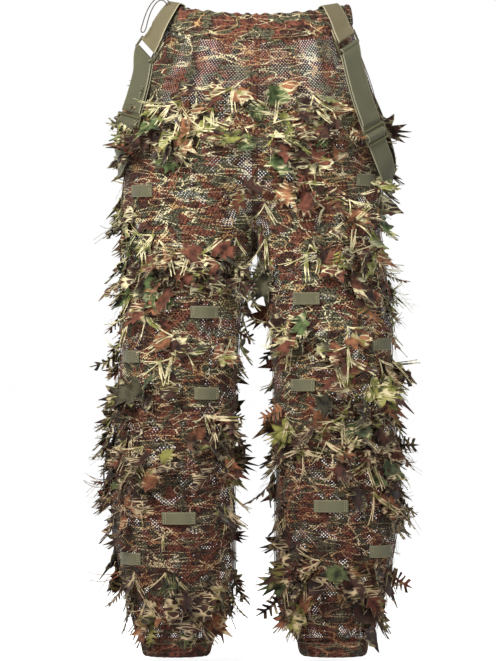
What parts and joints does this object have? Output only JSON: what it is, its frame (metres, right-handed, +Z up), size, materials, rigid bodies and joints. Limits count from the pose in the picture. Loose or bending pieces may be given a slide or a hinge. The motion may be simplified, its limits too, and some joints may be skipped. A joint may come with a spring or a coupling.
{
  "type": "ghillie suit trousers",
  "caption": "Camouflage net ghillie trousers with rows of cut leaves, foliage loops, elastic waist and hems, and adjustable braces hanging at the hips.",
  "frame": {"origin": "centre of the waist opening, level with the top edge of the waistband at the front", "axes": "+Z up along the body, -Y is the front of the garment, +X is the wearer's left"},
  "size_m": [0.5324, 0.3153, 1.0828],
  "materials": {
    "net_cloth": "printed knotless net, brown and grey-green camouflage",
    "net_cloth_bend": "the same printed net where the leg bends",
    "leaf_cloth": "cut cloth leaves, green and olive with cream frayed edges",
    "leaf_cloth_dry": "cut cloth leaves, reddish brown and tan with cream frayed edges",
    "foliage_loop_webbing": "flat olive webbing",
    "brace_webbing": "olive elastic webbing, ribbed",
    "brace_tab_webbing": "light tan-olive webbing with stitched ridge",
    "olive_plastic": "moulded olive plastic",
    "elastic_band": "woven white elastic band",
    "elastic_cord": "thin brown and grey braided elastic cord"
  },
  "bodies": {
    "root": {"waistband_casing": "net_cloth", "waist_elastic": "elastic_band", "waist_drawcord": "elastic_cord", "seat_front_right": "net_cloth", "seat_back_right": "net_cloth", "hip_bend_right": "net_cloth_bend", "garland_seat_front_upper_right": "leaf_cloth_dry", "garland_seat_back_upper_right": "leaf_cloth", "garland_seat_lower_right": "leaf_cloth_dry", "loop_hip_right": "foliage_loop_webbing", "brace_tab_right": "brace_tab_webbing", "brace_rear_patch_right": "brace_tab_webbing", "brace_ring_right": "olive_plastic", "seat_front_left": "net_cloth", "seat_back_left": "net_cloth", "hip_bend_left": "net_cloth_bend", "garland_seat_front_upper_left": "leaf_cloth_dry", "garland_seat_back_upper_left": "leaf_cloth", "garland_seat_lower_left": "leaf_cloth_dry", "loop_hip_left": "foliage_loop_webbing", "brace_tab_left": "brace_tab_webbing", "brace_rear_patch_left": "brace_tab_webbing", "brace_ring_left": "olive_plastic"},
    "thigh_right": {"thigh_front_right": "net_cloth", "thigh_back_right": "net_cloth", "knee_bend_right": "net_cloth_bend", "garland_thigh_right": "leaf_cloth", "loop_thigh_inner_right": "foliage_loop_webbing", "loop_thigh_outer_right": "foliage_loop_webbing", "loop_knee_inner_right": "foliage_loop_webbing"},
    "shin_right": {"shin_front_right": "net_cloth", "shin_back_right": "net_cloth", "garland_shin_upper_right": "leaf_cloth_dry", "garland_shin_middle_right": "leaf_cloth", "garland_shin_lower_right": "leaf_cloth_dry", "loop_shin_front_right": "foliage_loop_webbing", "loop_shin_outer_right": "foliage_loop_webbing", "hem_casing_right": "net_cloth", "hem_elastic_right": "elastic_band"},
    "brace_right": {"brace_webbing_right": "brace_webbing"},
    "slider_right": {"brace_slider_right": "olive_plastic"},
    "thigh_left": {"thigh_front_left": "net_cloth", "thigh_back_left": "net_cloth", "knee_bend_left": "net_cloth_bend", "garland_thigh_left": "leaf_cloth", "loop_thigh_inner_left": "foliage_loop_webbing", "loop_thigh_outer_left": "foliage_loop_webbing", "loop_knee_inner_left": "foliage_loop_webbing"},
    "shin_left": {"shin_front_left": "net_cloth", "shin_back_left": "net_cloth", "garland_shin_upper_left": "leaf_cloth_dry", "garland_shin_middle_left": "leaf_cloth", "garland_shin_lower_left": "leaf_cloth_dry", "loop_shin_front_left": "foliage_loop_webbing", "loop_shin_outer_left": "foliage_loop_webbing", "hem_casing_left": "net_cloth", "hem_elastic_left": "elastic_band"},
    "brace_left": {"brace_webbing_left": "brace_webbing"},
    "slider_left": {"brace_slider_left": "olive_plastic"}
  },
  "joints": [
    {"name": "hip_right", "type": "hinge", "parent": "root", "child": "thigh_right", "pos_m": [-0.11972, 0, -0.445], "axis": [-1, 0, 0], "range_deg": [-15, 60], "deforming": ["hip_bend_right", "loop_thigh_inner_right"]},
    {"name": "knee_right", "type": "hinge", "parent": "thigh_right", "child": "shin_right", "pos_m": [-0.13594, 0, -0.65], "axis": [1, 0, 0], "range_deg": [0, 60], "deforming": ["knee_bend_right"]},
    {"name": "brace_swing_right", "type": "hinge", "parent": "root", "child": "brace_right", "pos_m": [-0.18689, -0.03011, -0.06101], "axis": [0.4494, 0.8355, 0.316], "range_deg": [0, 120], "deforming": ["brace_webbing_right"]},
    {"name": "slider_travel_right", "type": "slide", "parent": "brace_right", "child": "slider_right", "axis": [0.2527, -0.0963, 0.9627], "range_m": [0, 0.04]},
    {"name": "hip_left", "type": "hinge", "parent": "root", "child": "thigh_left", "pos_m": [0.10972, 0, -0.445], "axis": [-1, 0, 0], "range_deg": [-15, 60], "deforming": ["hip_bend_left", "loop_thigh_inner_left"]},
    {"name": "knee_left", "type": "hinge", "parent": "thigh_left", "child": "shin_left", "pos_m": [0.12594, 0, -0.65], "axis": [1, 0, 0], "range_deg": [0, 60], "deforming": ["knee_bend_left"]},
    {"name": "brace_swing_left", "type": "hinge", "parent": "root", "child": "brace_left", "pos_m": [0.14876, -0.06718, -0.05148], "axis": [0.1037, -0.9752, -0.1957], "range_deg": [0, 120], "deforming": ["brace_webbing_left"]},
    {"name": "slider_travel_left", "type": "slide", "parent": "brace_left", "child": "slider_left", "axis": [-0.3322, -0.2618, 0.9061], "range_m": [0, 0.04]}
  ]
}
